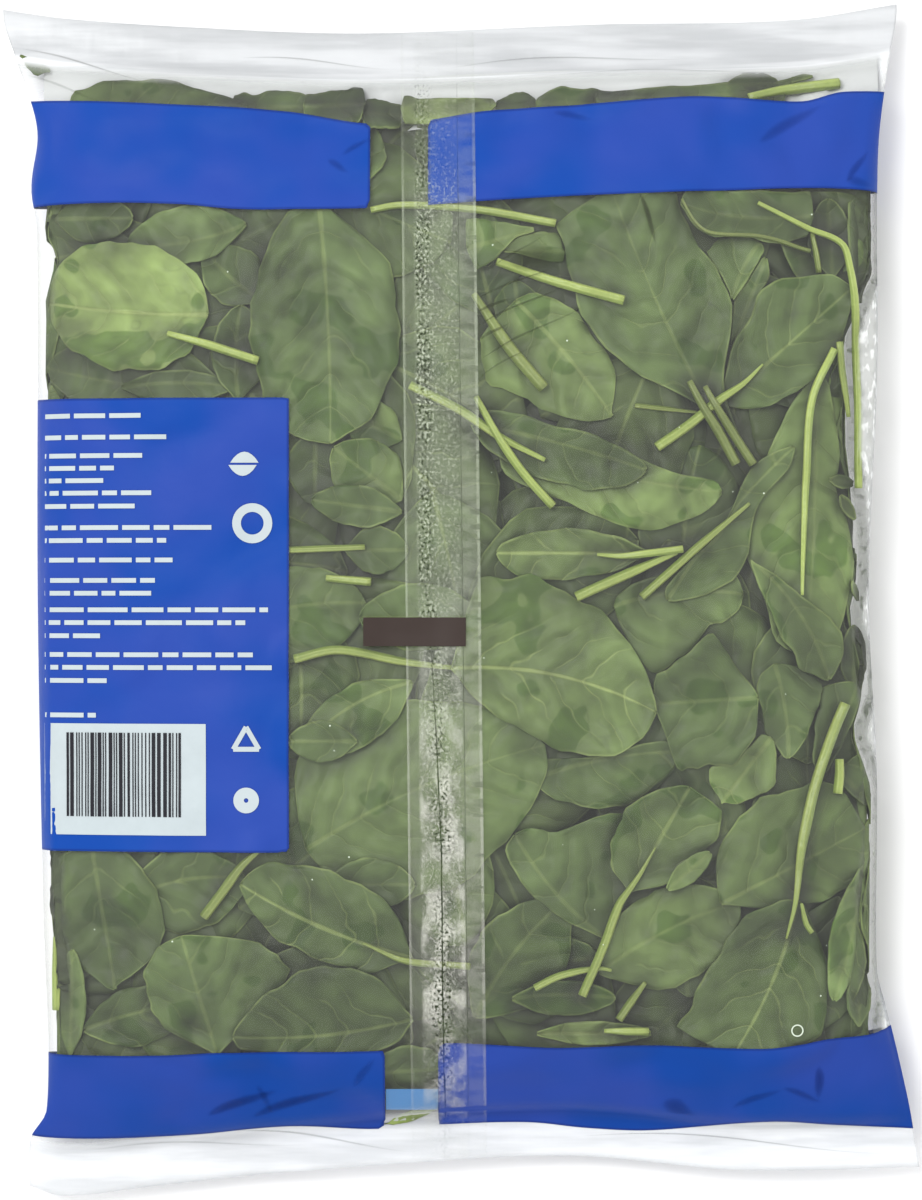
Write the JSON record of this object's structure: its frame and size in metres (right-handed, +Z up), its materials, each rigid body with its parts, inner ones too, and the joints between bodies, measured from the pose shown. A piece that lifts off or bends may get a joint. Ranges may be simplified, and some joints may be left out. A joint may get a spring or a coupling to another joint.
{
  "type": "bag of spinach",
  "caption": "Clear pillow bag stuffed with loose spinach leaves, with crimped end seals, a lap seam down its back and plain blue print bands; it lies flat on its front.",
  "frame": {"origin": "on the floor, under the middle of the bag", "axes": "+X to the right across the bag seen from above, +Y along the bag towards its top seal, +Z up out of the back seam"},
  "size_m": [0.2471, 0.321, 0.0514],
  "materials": {
    "film": "clear glossy film drawn over green leaves",
    "leaf": "fresh spinach leaf, soft sheen",
    "stem": "pale yellow-green stalk",
    "print_blue": "opaque blue ink under glossy film",
    "seal": "crimped film, whitish and half clear"
  },
  "bodies": {
    "root": {"bag": "film"}
  },
  "joints": []
}
